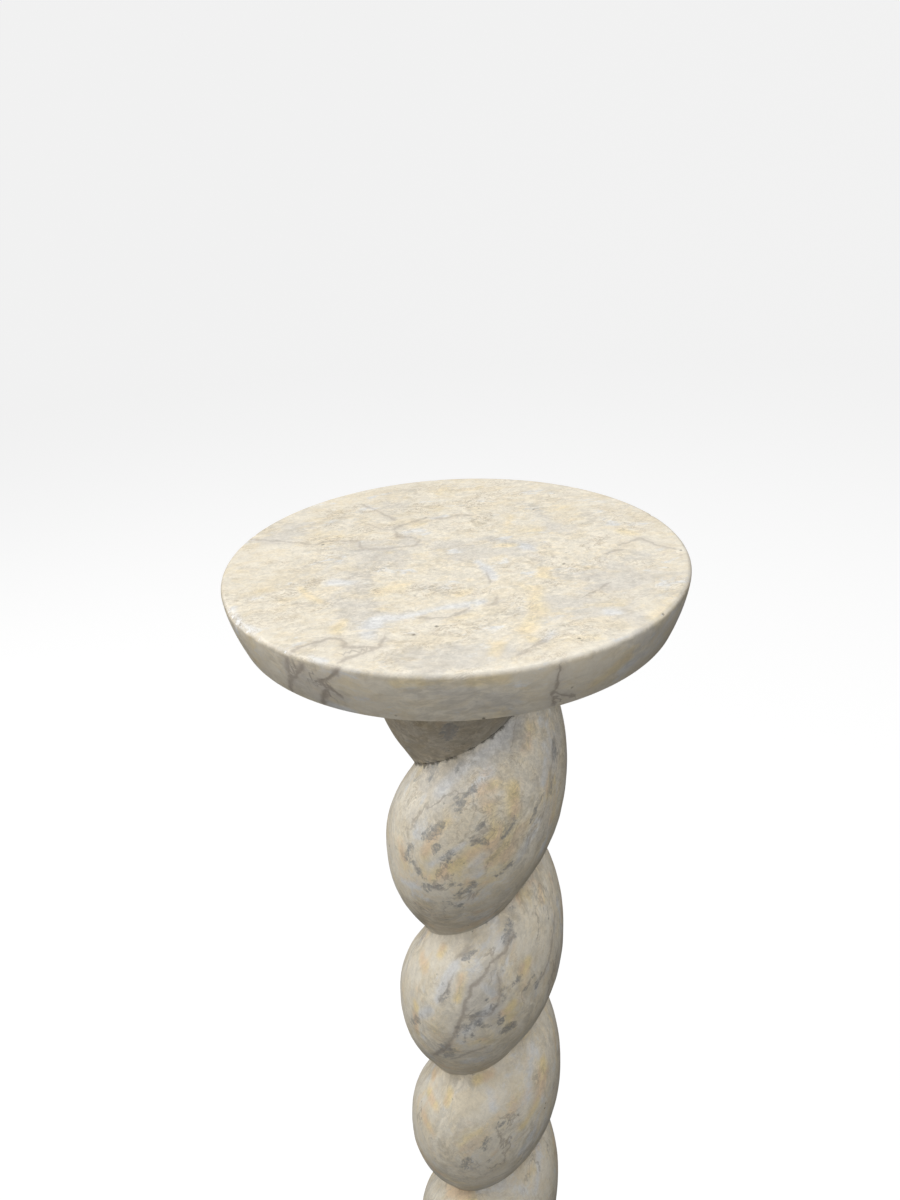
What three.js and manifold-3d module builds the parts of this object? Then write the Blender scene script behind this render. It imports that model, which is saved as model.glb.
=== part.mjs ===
// A stone display stand: a round top slab on a shaft carved as one right-handed rope twist, on a
// round base slab. Millimetres, +Z up, origin at the centre of the underside.

import * as THREE from 'three';
import { mergeVertices } from 'three/addons/utils/BufferGeometryUtils.js';
import Module from 'manifold-3d';

const wasm = await Module();
wasm.setup();

// Driving dimensions, in millimetres unless the name says otherwise
const standHeight = 960;

const topDiameter = 280;
const topThickness = 31;
const topArrisRadius = 2.8;
const topUndersideInset = 7.3;

const baseDiameter = 280;
const baseThickness = 38;
const baseArrisRadius = 2.8;
const baseUppersideInset = 7.3;

// The slabs' sides are bowed: the inset grows with this power of the distance from the arris
const sideBowPower = 1.5;

const crestRadius = 64.2;
const grooveRadius = 38.3;
const twistPitch = 153.6;
// Where the groove meets the top slab, counter-clockwise from +X as seen from above
const grooveAzimuthDegrees = 108.3;
// A lobe's outline is a parabola at 2 and has fuller shoulders above that
const fullnessAboveCrest = 2.47;
const fullnessBelowCrest = 2.03;
// The shaft stands centred on the base and reaches the top slab this far towards +X
const shaftLean = 6.3;

// Facets
const slabSides = 96;
const arrisSteps = 3;
const sideSteps = 5;
const stepsPerTurn = 44;
const stepsPerLobe = 10;
// The twist is whole from one turn after it starts, and is cut from this much more than it shows
const turnsBelowBase = 1.5;
const turnsAboveTop = 0.5;

const sandyCream = 0xcfc3a8;
const paleCream = 0xd8cfba;

// The seats are rounded as the vertices on them are, so that stone meets stone with no overlap
const baseSeat = Math.fround(baseThickness);
const topSeat = Math.fround(standHeight - topThickness);

// Half the section of a slab whose wide face, with its rounded arris, is at height 0 and whose
// narrow face is at the given thickness.
function slabOutline(diameter, thickness, arrisRadius, inset) {
  const radius = diameter / 2;
  const outline = [new THREE.Vector2(0, 0)];
  for (let step = 0; step <= arrisSteps; step++) {
    const turn = (step / arrisSteps) * Math.PI / 2;
    const out = radius - arrisRadius * (1 - Math.sin(turn));
    outline.push(new THREE.Vector2(out, arrisRadius * (1 - Math.cos(turn))));
  }
  for (let step = 1; step <= sideSteps; step++) {
    const share = step / sideSteps;
    const height = arrisRadius + (thickness - arrisRadius) * share;
    outline.push(new THREE.Vector2(radius - inset * share ** sideBowPower, height));
  }
  outline.push(new THREE.Vector2(0, thickness));
  return outline;
}

// A slab with its wide face down and the axis of the turning along Z
function slabGeometry(diameter, thickness, arrisRadius, inset) {
  const outline = slabOutline(diameter, thickness, arrisRadius, inset);
  return new THREE.LatheGeometry(outline, slabSides).rotateX(Math.PI / 2);
}

// The shaft's radius at a share of the way up a lobe, from the groove below it to the next one
function lobeRadius(share) {
  const fromCrest = Math.abs(2 * share - 1);
  const fullness = share > 0.5 ? fullnessAboveCrest : fullnessBelowCrest;
  return grooveRadius + (crestRadius - grooveRadius) * (1 - fromCrest ** fullness);
}

// The twist as one long strip wound up the axis, whose upper edge is the next turn's lower edge,
// so that the groove follows the edges of the mesh. It runs past both seats and is closed by a
// fan to the axis at each end.
function twistGeometry() {
  const firstHeight = baseSeat - turnsBelowBase * twistPitch;
  const turns = (topSeat - firstHeight) / twistPitch + turnsAboveTop;
  const stripSteps = Math.ceil(turns * stepsPerTurn);
  const positions = [];
  const grooveVertices = [];
  const lobeVertices = [];

  function addVertex(step, row) {
    const grooveHeight = firstHeight + twistPitch * step / stepsPerTurn;
    const turn = THREE.MathUtils.degToRad(grooveAzimuthDegrees)
      + 2 * Math.PI * (grooveHeight - topSeat) / twistPitch;
    const radius = lobeRadius(row / stepsPerLobe);
    const height = grooveHeight + twistPitch * row / stepsPerLobe;
    positions.push(radius * Math.cos(turn), radius * Math.sin(turn), height);
    return positions.length / 3 - 1;
  }

  for (let step = 0; step <= stripSteps + stepsPerTurn; step++) {
    grooveVertices.push(addVertex(step, 0));
  }
  for (let step = 0; step <= stripSteps; step++) {
    const column = [grooveVertices[step]];
    for (let row = 1; row < stepsPerLobe; row++) {
      column.push(addVertex(step, row));
    }
    column.push(grooveVertices[step + stepsPerTurn]);
    lobeVertices.push(column);
  }

  const triangles = [];
  for (let step = 0; step < stripSteps; step++) {
    const near = lobeVertices[step];
    const far = lobeVertices[step + 1];
    for (let row = 0; row < stepsPerLobe; row++) {
      triangles.push(near[row], far[row], far[row + 1]);
      triangles.push(near[row], far[row + 1], near[row + 1]);
    }
  }

  function addFan(rim, height) {
    positions.push(0, 0, height);
    const hub = positions.length / 3 - 1;
    rim.forEach((vertex, index) => {
      triangles.push(hub, vertex, rim[(index + 1) % rim.length]);
    });
  }

  const firstGroove = grooveVertices.slice(0, stepsPerTurn).reverse();
  const lastGroove = grooveVertices.slice(stripSteps);
  const firstEdge = lobeVertices[0].slice(1);
  const lastEdge = lobeVertices[stripSteps].slice(1, -1).reverse();
  addFan([...firstEdge, ...firstGroove], firstHeight);
  addFan([...lastGroove, ...lastEdge], firstHeight + twistPitch * (stripSteps / stepsPerTurn + 1));

  const geometry = new THREE.BufferGeometry();
  geometry.setAttribute('position', new THREE.Float32BufferAttribute(positions, 3));
  geometry.setIndex(triangles);
  return geometry;
}

// Leans an upright geometry so that its axis moves by shaftLean from the base's seat to the top's
function leanShaft(geometry) {
  const lean = shaftLean / (topSeat - baseSeat);
  const shear = new THREE.Matrix4().makeShear(0, 0, 0, 0, lean, 0);
  shear.setPosition(-lean * baseSeat, 0, 0);
  return geometry.applyMatrix4(shear);
}

function toSolid(geometry) {
  const bare = geometry.clone();
  bare.deleteAttribute('normal');
  bare.deleteAttribute('uv');
  const merged = mergeVertices(bare);
  return new wasm.Manifold(new wasm.Mesh({
    numProp: 3,
    vertProperties: new Float32Array(merged.attributes.position.array),
    triVerts: new Uint32Array(merged.index.array),
  }));
}

function toGeometry(solid) {
  const mesh = solid.getMesh();
  const geometry = new THREE.BufferGeometry();
  geometry.setAttribute('position', new THREE.BufferAttribute(mesh.vertProperties, 3));
  geometry.setIndex(new THREE.BufferAttribute(mesh.triVerts, 1));
  geometry.computeVertexNormals();
  return geometry;
}

// The twist, leaned and cut level at both seats
function shaftGeometry() {
  const blockWidth = 2 * (2 * crestRadius + shaftLean);
  const block = new THREE.BoxGeometry(blockWidth, blockWidth, topSeat - baseSeat);
  block.translate(0, 0, (topSeat + baseSeat) / 2);
  const twist = toSolid(leanShaft(twistGeometry()));
  return toGeometry(twist.intersect(toSolid(block)));
}

function piece(name, geometry, color, roughness) {
  const material = new THREE.MeshStandardMaterial({ color, roughness, metalness: 0 });
  const mesh = new THREE.Mesh(geometry, material);
  mesh.name = name;
  return mesh;
}

// Both slabs are the same turning; the top one lies with its wide face up
function topSlab() {
  const geometry = slabGeometry(topDiameter, topThickness, topArrisRadius, topUndersideInset);
  geometry.rotateX(Math.PI);
  geometry.translate(0, 0, topThickness);
  const mesh = piece('top_slab', geometry, paleCream, 0.45);
  mesh.position.z = topSeat;
  return mesh;
}

function baseSlab() {
  const geometry = slabGeometry(baseDiameter, baseThickness, baseArrisRadius, baseUppersideInset);
  return piece('base_slab', geometry, sandyCream, 0.6);
}

const stand = new THREE.Group();
stand.add(baseSlab());
stand.add(piece('twisted_shaft', shaftGeometry(), sandyCream, 0.55));
stand.add(topSlab());

export default stand;
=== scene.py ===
"""A stone display stand: a round top slab on a rope-twist shaft, on a round base slab."""

import math
from collections import namedtuple

import bmesh
import bpy
import numpy as np
from bpy.props import FloatProperty, FloatVectorProperty, IntProperty, PointerProperty
from bpy.types import Operator, Panel, PropertyGroup
from mathutils import Matrix, Vector, noise


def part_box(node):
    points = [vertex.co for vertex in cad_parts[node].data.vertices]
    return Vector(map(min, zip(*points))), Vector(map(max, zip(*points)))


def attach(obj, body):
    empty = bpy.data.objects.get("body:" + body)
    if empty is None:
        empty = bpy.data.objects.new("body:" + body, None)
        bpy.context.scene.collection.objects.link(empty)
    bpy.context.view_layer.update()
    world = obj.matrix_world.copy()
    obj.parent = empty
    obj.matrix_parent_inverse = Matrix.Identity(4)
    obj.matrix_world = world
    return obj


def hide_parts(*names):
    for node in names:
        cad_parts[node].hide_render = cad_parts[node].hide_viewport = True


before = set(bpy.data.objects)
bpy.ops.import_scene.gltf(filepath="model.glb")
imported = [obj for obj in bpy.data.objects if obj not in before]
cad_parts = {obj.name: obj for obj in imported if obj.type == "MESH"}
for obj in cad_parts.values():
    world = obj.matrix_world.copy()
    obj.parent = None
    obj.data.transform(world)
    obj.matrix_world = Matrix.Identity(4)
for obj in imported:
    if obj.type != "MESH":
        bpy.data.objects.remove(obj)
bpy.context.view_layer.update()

bl_info = {
    "name": "Twisted stone stand",
    "version": (1, 0, 0),
    "blender": (4, 5, 0),
    "location": "View3D > Sidebar > Stand",
    "description": "Carves a stone stand with a rope-twist shaft and finishes its stone",
    "category": "Add Mesh",
}

MM = 0.001
# What stands for the distance to a vein or pinhole, in millimetres, where there is none near
NONE_NEAR = 50.0
TOP_LOW, TOP_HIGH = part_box("top_slab")
SHAFT_LOW, SHAFT_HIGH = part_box("twisted_shaft")
BASE_LOW, BASE_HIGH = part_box("base_slab")
TOP_RADIUS = (TOP_HIGH.x - TOP_LOW.x) / 2
BASE_RADIUS = (BASE_HIGH.x - BASE_LOW.x) / 2


# Sizes and colours that a user may change

def length_setting(name, description, default, **limits):
    """A length, in metres."""
    return FloatProperty(
        name=name, description=description, default=default, unit='LENGTH', **limits)


def angle_setting(name, description, degrees):
    """An angle, given in degrees and kept in radians."""
    return FloatProperty(
        name=name, description=description, default=math.radians(degrees), subtype='ANGLE')


def power_setting(name, description, default):
    """A light's power, in watts."""
    return FloatProperty(name=name, description=description, default=default, unit='POWER')


def colour_setting(name, description, default):
    """A colour, as linear red, green and blue."""
    return FloatVectorProperty(
        name=name, description=description, default=default, size=3, subtype='COLOR')


class SlabSettings(PropertyGroup):
    """The turning that both slabs share"""

    arris: length_setting(
        "Arris radius", "Rounding of the wide face's edge", 2.8 * MM, min=0.5 * MM)
    inset: length_setting(
        "Side inset", "How far the side draws in by the narrow face", 7.3 * MM, min=0.0)
    bow: FloatProperty(
        name="Side bow", description="Power of the side's curve, 1 for a straight side",
        default=1.5, min=1.0, max=4.0)
    steps_round: IntProperty(
        name="Steps round", description="Facets round a slab", default=360, min=24)


class ShaftSettings(PropertyGroup):
    """The rope twist"""

    crest_radius: length_setting("Crest radius", "Radius over the middle of the lobe", 64.2 * MM)
    groove_radius: length_setting("Groove radius", "Radius at the bottom of the groove", 38.3 * MM)
    pitch: length_setting("Pitch", "Height of one turn of the twist", 153.6 * MM)
    azimuth: angle_setting("Groove azimuth", "Where the groove meets the top slab, from +X", 108.3)
    fullness_above: FloatProperty(
        name="Fullness above", description="Shoulder of the lobe above its crest",
        default=2.47, min=1.0, max=6.0)
    fullness_below: FloatProperty(
        name="Fullness below", description="Shoulder of the lobe below its crest",
        default=2.03, min=1.0, max=6.0)
    lean: length_setting("Lean", "How far the shaft's top lies towards +X", 6.3 * MM)
    groove_fillet: length_setting(
        "Groove fillet", "Stone left in the bottom of the groove", 1.5 * MM)
    steps_round: IntProperty(
        name="Steps round", description="Facets in one turn", default=144, min=24)
    rows: IntProperty(
        name="Rows", description="Facets across one lobe", default=60, min=12)


class StoneSettings(PropertyGroup):
    """Colours of the stone"""

    cream: colour_setting("Cream", "Main colour", (0.80, 0.74, 0.62))
    sand: colour_setting("Sand", "Warm patches in the cream", (0.75, 0.65, 0.47))
    cloud: colour_setting("Cloud", "Cool, lilac-grey clouds", (0.62, 0.59, 0.54))
    pale: colour_setting("Bluish white", "Calcite bands", (0.76, 0.76, 0.75))
    ochre: colour_setting("Ochre", "Iron stains", (0.86, 0.71, 0.40))
    peach: colour_setting("Peach", "The redder iron stains", (0.83, 0.64, 0.43))
    slate: colour_setting("Slate", "Blue-grey blotches", (0.25, 0.25, 0.25))
    vein: colour_setting("Vein", "Thin veins", (0.33, 0.28, 0.23))
    halo: colour_setting("Halo", "Lilac stone beside the veins", (0.52, 0.48, 0.44))
    thread: colour_setting("Thread", "Fine tan threads", (0.48, 0.40, 0.29))
    broken: colour_setting("Broken stone", "Fresh breaks", (0.88, 0.87, 0.84))
    # Pale stone for the arris: a painted highlight, and in part real wear from handling
    rubbed: colour_setting("Rubbed stone", "Edges worn by handling", (0.82, 0.81, 0.77))
    # The tint of painted shade, multiplied in under the top slab, under the lobes, in the grooves, on
    # the slabs' sides and at the base's foot
    film: colour_setting("Film", "Tint of a thin film of old dirt", (0.62, 0.59, 0.55))
    # Dark colour for the pinholes, the grime in the groove, and the painted crease shade in every
    # groove
    dirt_and_shade: colour_setting("Dirt", "Grime in the groove and the pinholes", (0.09, 0.08, 0.06))


class StageSettings(PropertyGroup):
    """Camera, light and floor"""

    camera_back: length_setting("Camera distance", "From the stand's axis, level", 0.5014)
    camera_above: length_setting("Camera height", "Above the top face", 0.2221)
    camera_down: angle_setting("Camera dip", "Below the horizon", 26.79)
    camera_turn: angle_setting("Camera turn", "Clockwise from +Y", -0.48)
    camera_roll: angle_setting("Camera roll", "About its own line of sight", -3.09)
    lens: FloatProperty(
        name="Lens", description="Focal length over a 36 mm long side", default=27.0)
    left_power: power_setting("Left light", "Power of the strongest soft box", 48.0)
    front_power: power_setting("Front light", "Power of the soft box by the camera", 36.0)
    right_power: power_setting("Right light", "Power of the soft box on the right", 21.0)
    back_power: power_setting("Back light", "Power of the high soft box behind", 30.0)
    ambient: FloatProperty(
        name="Ambient light", description="Strength of the even light", default=0.01, min=0.0)
    floor_radius: length_setting(
        "Floor radius", "Where the floor turns up into the backdrop", 5.0)


class StandSettings(PropertyGroup):
    """Everything that can be set on the stand"""

    slab: PointerProperty(type=SlabSettings)
    shaft: PointerProperty(type=ShaftSettings)
    stone: PointerProperty(type=StoneSettings)
    stage: PointerProperty(type=StageSettings)


# Places on the stone, from sizes in millimetres and degrees

def on_top(x, y):
    """A place on the top face, across and away from the camera."""
    return Vector((x * MM, y * MM, TOP_HIGH.z))


def side_radius(slab, radius, depth_share):
    """Radius of a slab's side at a share of the way from its wide face to its narrow one."""
    return radius - slab.inset * depth_share ** slab.bow


def on_side(slab, azimuth, drop):
    """A place on the top slab's side, an azimuth and a drop below the top face."""
    thickness = TOP_HIGH.z - TOP_LOW.z
    radius = side_radius(slab, TOP_RADIUS, max(drop * MM / thickness, 0.0))
    turn = math.radians(azimuth)
    return Vector((radius * math.cos(turn), radius * math.sin(turn), TOP_HIGH.z - drop * MM))


def lobe_radius(shaft, share):
    """The shaft's radius at a share of the way up a lobe, from one groove to the next."""
    from_crest = abs(2 * share - 1)
    fullness = shaft.fullness_above if share > 0.5 else shaft.fullness_below
    depth = shaft.crest_radius - shaft.groove_radius
    carved = shaft.groove_radius + depth * (1 - from_crest ** fullness)
    groove_distance = (1 - from_crest) * shaft.pitch / 2
    return carved + shaft.groove_fillet * math.exp(-groove_distance / (3 * shaft.groove_fillet))


def lobe_share(shaft, turn, height):
    """How far up its lobe a place on the upright shaft lies, by its azimuth and height."""
    return ((height - SHAFT_HIGH.z) / shaft.pitch - (turn - shaft.azimuth) / math.tau) % 1.0


def on_shaft(shaft, azimuth, drop):
    """A place on the shaft, an azimuth about its own axis and a drop below the top slab."""
    turn = math.radians(azimuth)
    height = SHAFT_HIGH.z - drop * MM
    radius = lobe_radius(shaft, lobe_share(shaft, turn, height))
    upright = Vector((radius * math.cos(turn), radius * math.sin(turn), height))
    return lean_matrix(shaft) @ upright


def lean_matrix(shaft):
    """Shears the upright shaft so that its top lies over to +X and its foot stays."""
    slope = shaft.lean / (SHAFT_HIGH.z - SHAFT_LOW.z)
    matrix = Matrix.Identity(4)
    matrix[0][2] = slope
    matrix[0][3] = -slope * SHAFT_LOW.z
    return matrix


# Working the stone with bmesh

def smooth_step(low, high, value):
    """0 below low, 1 above high, smooth between them."""
    share = min(max((value - low) / (high - low), 0.0), 1.0)
    return share * share * (3 - 2 * share)


def repeat(stone, copies, move):
    """Adds copies of a mesh, each moved on by one more step, and joins them where they meet."""
    geometry = stone.verts[:] + stone.edges[:] + stone.faces[:]
    place = Matrix.Identity(4)
    for _ in range(copies):
        place = move @ place
        copy = bmesh.ops.duplicate(stone, geom=geometry)
        verts = [part for part in copy["geom"] if isinstance(part, bmesh.types.BMVert)]
        bmesh.ops.transform(stone, matrix=place, verts=verts)
    bmesh.ops.remove_doubles(stone, verts=stone.verts, dist=0.02 * MM)


def slab_outline(slab, radius, thickness, ring_gap):
    """Half of a slab's section as (radius, depth below the wide face), from axis to axis."""
    flat = radius - slab.arris
    rings = round(flat / ring_gap)
    outline = [(flat * ring / rings, 0.0) for ring in range(rings + 1)]
    arris_steps = 8
    for step in range(1, arris_steps + 1):
        turn = math.pi / 2 * step / arris_steps
        outline.append((flat + slab.arris * math.sin(turn), slab.arris * (1 - math.cos(turn))))
    side_steps = 18
    for step in range(1, side_steps + 1):
        share = step / side_steps
        depth = slab.arris + (thickness - slab.arris) * share
        outline.append((side_radius(slab, radius, share), depth))
    narrow = outline[-1][0]
    under_steps = 14
    for step in range(1, under_steps + 1):
        outline.append((narrow * (1 - step / under_steps), thickness))
    return outline


def turned_slab(slab, radius, wide_height, narrow_height, ring_gap):
    """A slab spun from its outline, its wide face at one height and its narrow face at the other."""
    stone = bmesh.new()
    thickness = abs(wide_height - narrow_height)
    way = 1 if wide_height > narrow_height else -1
    verts = [
        stone.verts.new((out, 0.0, wide_height - way * depth))
        for out, depth in slab_outline(slab, radius, thickness, ring_gap)
    ]
    edges = [stone.edges.new(pair) for pair in zip(verts, verts[1:])]
    sectors = 12
    bmesh.ops.spin(
        stone, geom=verts + edges, cent=(0, 0, 0), axis=(0, 0, 1), angle=math.tau / sectors,
        steps=slab.steps_round // sectors)
    repeat(stone, sectors - 1, Matrix.Rotation(math.tau / sectors, 4, 'Z'))
    bmesh.ops.recalc_face_normals(stone, faces=stone.faces)
    return stone


def twisted_bar(shaft):
    """One turn of the twist, stacked past both seats and cut level at each."""
    turns_below = 1.5
    bar = bmesh.new()
    verts = []
    first = SHAFT_LOW.z - turns_below * shaft.pitch
    turn = shaft.azimuth + math.tau * (first - SHAFT_HIGH.z) / shaft.pitch
    for row in range(shaft.rows + 1):
        share = row / shaft.rows
        radius = lobe_radius(shaft, share)
        place = (radius * math.cos(turn), radius * math.sin(turn), first + share * shaft.pitch)
        verts.append(bar.verts.new(place))
    edges = [bar.edges.new(pair) for pair in zip(verts, verts[1:])]
    bmesh.ops.spin(
        bar, geom=verts + edges, cent=(0, 0, 0), axis=(0, 0, 1), angle=math.tau,
        dvec=(0, 0, shaft.pitch / shaft.steps_round), steps=shaft.steps_round)
    turns = math.ceil((SHAFT_HIGH.z - first) / shaft.pitch)
    repeat(bar, turns, Matrix.Translation((0, 0, shaft.pitch)))
    for height, way in ((SHAFT_LOW.z, -1), (SHAFT_HIGH.z, 1)):
        everything = bar.verts[:] + bar.edges[:] + bar.faces[:]
        cut = bmesh.ops.bisect_plane(
            bar, geom=everything, dist=0.001 * MM, plane_co=(0, 0, height),
            plane_no=(0, 0, way), clear_outer=True)
        rim = [part for part in cut["geom_cut"] if isinstance(part, bmesh.types.BMEdge)]
        bmesh.ops.contextual_create(bar, geom=rim)
    bmesh.ops.recalc_face_normals(bar, faces=bar.faces)
    return bar


def weather(stone, amount, size, seats):
    """Moves the surface in and out by smooth noise, less near the seats, where stones touch."""
    seat_margin = 6 * MM
    stone.normal_update()
    moves = []
    for vert in stone.verts:
        reach = min(abs(vert.co.z - seat) for seat in seats)
        keep = smooth_step(0.0, seat_margin, reach)
        swell = noise.fractal(vert.co / size, 1.0, 2.0, 3)
        moves.append(vert.normal * (amount * keep * swell))
    for vert, move in zip(stone.verts, moves):
        vert.co += move


def chip_arris(stone, wide_height, narrow_height, radius, chips):
    """Breaks small shells out of a slab's arris. Each chip is (azimuth, length, depth)."""
    chipped = stone.verts.layers.float.new("chipped")
    way = 1 if wide_height > narrow_height else -1
    reach = 8 * MM
    depths_across = 2.4
    raggedness = 0.4
    rag_size = 2.5 * MM
    rim = [vert for vert in stone.verts if vert.co.xy.length > radius - reach]
    for azimuth, length, depth in chips:
        turn = math.radians(azimuth)
        centre = Vector((radius * math.cos(turn), radius * math.sin(turn), wide_height))
        inward = Vector((-math.cos(turn), -math.sin(turn), -way)).normalized()
        along = Vector((-math.sin(turn), math.cos(turn), 0.0))
        for vert in rim:
            offset = vert.co - centre
            if offset.length > length * MM:
                continue
            run = offset.dot(along)
            across = (offset - along * run).length / (depths_across * depth * MM)
            ragged = raggedness * noise.noise(vert.co / rag_size)
            bite = 1 - (run / (length * MM / 2)) ** 2 - across * across + ragged
            if bite > 0:
                vert.co += inward * (depth * MM * min(bite, 1.0) ** 0.6)
                vert[chipped] = max(vert[chipped], min(bite * 2, 1.0))


def carved_slab(slab, radius, wide_height, narrow_height, ring_gap, chips):
    """A slab turned, left a little uneven by hand and chipped along its arris."""
    stone = turned_slab(slab, radius, wide_height, narrow_height, ring_gap)
    weather(stone, 0.25 * MM, 30 * MM, (wide_height, narrow_height))
    chip_arris(stone, wide_height, narrow_height, radius, chips)
    return stone


def finish_piece(name, stone, material, node):
    """Makes the object of a piece, smooth but for its hard edges, in place of its CAD node."""
    mesh = bpy.data.meshes.new(name)
    stone.to_mesh(mesh)
    stone.free()
    mesh.shade_smooth()
    mesh.set_sharp_from_angle(angle=math.radians(40))
    mesh.materials.append(material)
    piece = bpy.data.objects.new(name, mesh)
    bpy.context.scene.collection.objects.link(piece)
    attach(piece, "root")
    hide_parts(node)
    return piece


# Where the stone's own marks lie

def mesh_arrays(mesh):
    """The vertices' places and normals as arrays."""
    places = np.empty(len(mesh.vertices) * 3)
    normals = np.empty(len(mesh.vertices) * 3)
    mesh.vertices.foreach_get("co", places)
    mesh.vertices.foreach_get("normal", normals)
    return places.reshape(-1, 3), normals.reshape(-1, 3)


def write_attribute(mesh, name, values):
    """Stores one number a vertex under a name that the material reads."""
    attribute = mesh.attributes.new(name, 'FLOAT', 'POINT')
    attribute.data.foreach_set("value", np.asarray(values, dtype=np.float32))


def segment_offsets(places, start, end):
    """The way from a segment to each place, and how far along the segment it leaves."""
    along = end - start
    share = np.clip((places - start) @ along / (along @ along), 0.0, 1.0)
    return places - start - share[:, None] * along, share


def write_veins(mesh, veins):
    """Thin veins, each (width in millimetres, strength, path): the signed distance to the nearest
    one, its width, and how strongly it runs there."""
    places, normals = mesh_arrays(mesh)
    nearest = np.full(len(places), np.inf)
    signed = np.full(len(places), NONE_NEAR)
    widths = np.ones(len(places))
    presence = np.zeros(len(places))
    for width, strength, path in veins:
        points = [np.array(point) for point in path]
        last = len(points) - 2
        for index, (start, end) in enumerate(zip(points, points[1:])):
            offset, share = segment_offsets(places, start, end)
            distance = np.linalg.norm(offset, axis=1)
            past_end = ((index == 0) & (share <= 0)) | ((index == last) & (share >= 1))
            side = np.sign((np.cross(end - start, offset) * normals).sum(axis=1))
            closer = distance < nearest
            full = np.where(past_end, 0.5 * MM, 5.0 * MM)
            gone = np.where(past_end, 3.0 * MM, 9.0 * MM)
            fade = np.clip((gone - distance) / (gone - full), 0.0, 1.0)
            nearest = np.where(closer, distance, nearest)
            signed = np.where(closer, side * distance / MM, signed)
            widths = np.where(closer, width, widths)
            presence = np.where(closer, fade * strength, presence)
    write_attribute(mesh, "vein_offset", np.clip(signed, -NONE_NEAR, NONE_NEAR))
    write_attribute(mesh, "vein_width", widths)
    write_attribute(mesh, "vein_presence", presence)


def write_pits(mesh, pits):
    """Single small holes: the distance to the nearest one in millimetres."""
    places, _ = mesh_arrays(mesh)
    nearest = np.full(len(places), NONE_NEAR)
    for pit in pits:
        nearest = np.minimum(nearest, np.linalg.norm(places - np.array(pit), axis=1) / MM)
    write_attribute(mesh, "pit_distance", nearest)


def write_bands(mesh, name, bands):
    """Broad marks: 1 on a band's middle line, 0 at its edge and down to -1 away from it."""
    places, _ = mesh_arrays(mesh)
    strength = np.full(len(places), -1.0)
    for half_width, path in bands:
        points = [np.array(point) for point in path]
        if len(points) == 1:
            # A round mark is a very short band
            points.append(points[0] + np.array((0.1 * MM, 0.0, 0.0)))
        for start, end in zip(points, points[1:]):
            offset, _ = segment_offsets(places, start, end)
            distance = np.linalg.norm(offset, axis=1)
            strength = np.maximum(strength, 1 - distance / (half_width * MM))
    write_attribute(mesh, name, np.clip(strength, -1.0, 1.0))


def put_marks(marks, place, *shape):
    """The marks with their paths, the last part of each, put on the stone by place."""
    return [(*sizes, [place(*shape, *point) for point in path]) for *sizes, path in marks]


def top_veins(slab):
    """Thin veins on the top slab, as they run over its face and down its side."""
    face = (
        (2.8, 0.75, ((-132, 40), (-118, 36), (-98, 31), (-88, 24), (-82, 31), (-60, 28), (-58, 15),
                    (-43, 13), (-24, 17), (-21, 25), (-28, 30), (-36, 33))),
        (3.0, 0.75, ((-36, 33), (-39, 44), (-32, 53), (-18, 62), (-5, 60), (5, 64), (14, 63))),
        (2.5, 0.6, ((-38, 42), (-48, 48), (-56, 56))),
        (3.0, 0.75, ((-63, 93), (-53, 82), (-46, 73), (-39, 61))),
        (3.0, 1.0, ((-84, -110), (-80, -106), (-66, -98), (-60, -99), (-57, -108), (-40, -110),
                    (-38, -100))),
        (3.0, 0.9, ((-59, -123), (-54, -119), (-43, -112))),
        (2.8, 0.9, ((-20, -81), (-7, -82), (1, -78), (6, -72))),
        (2.3, 0.8, ((18, -28), (19, -42))),
        (3.0, 0.8, ((29, -124), (35, -118), (43, -111))),
        (2.8, 0.8, ((16, -70), (23, -67), (22, -61))),
        (1.8, 0.9, ((68, -66), (78, -58), (85, -50))),
        (2.5, 0.8, ((101, 1), (115, 10), (122, -2), (132, -8))),
        (2.5, 0.9, ((90, -10), (101, -5))),
    )
    side = (
        (4.0, 1.4, ((-128, 4), (-129, 16), (-132, 30))),
        (3.5, 1.4, ((-124, 4), (-126, 11), (-129, 19))),
        (3.5, 1.6, ((-115, 2), (-117, 7), (-120, 12), (-118, 16), (-116, 20))),
        (4.0, 1.6, ((-118, 14), (-121, 24), (-122, 30))),
        (2.6, 1.4, ((-70, 3), (-70, 12), (-71, 20), (-70, 29))),
        (2.4, 1.2, ((-70, 20), (-65, 28))),
    )
    return put_marks(face, on_top) + put_marks(side, on_side, slab)


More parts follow.
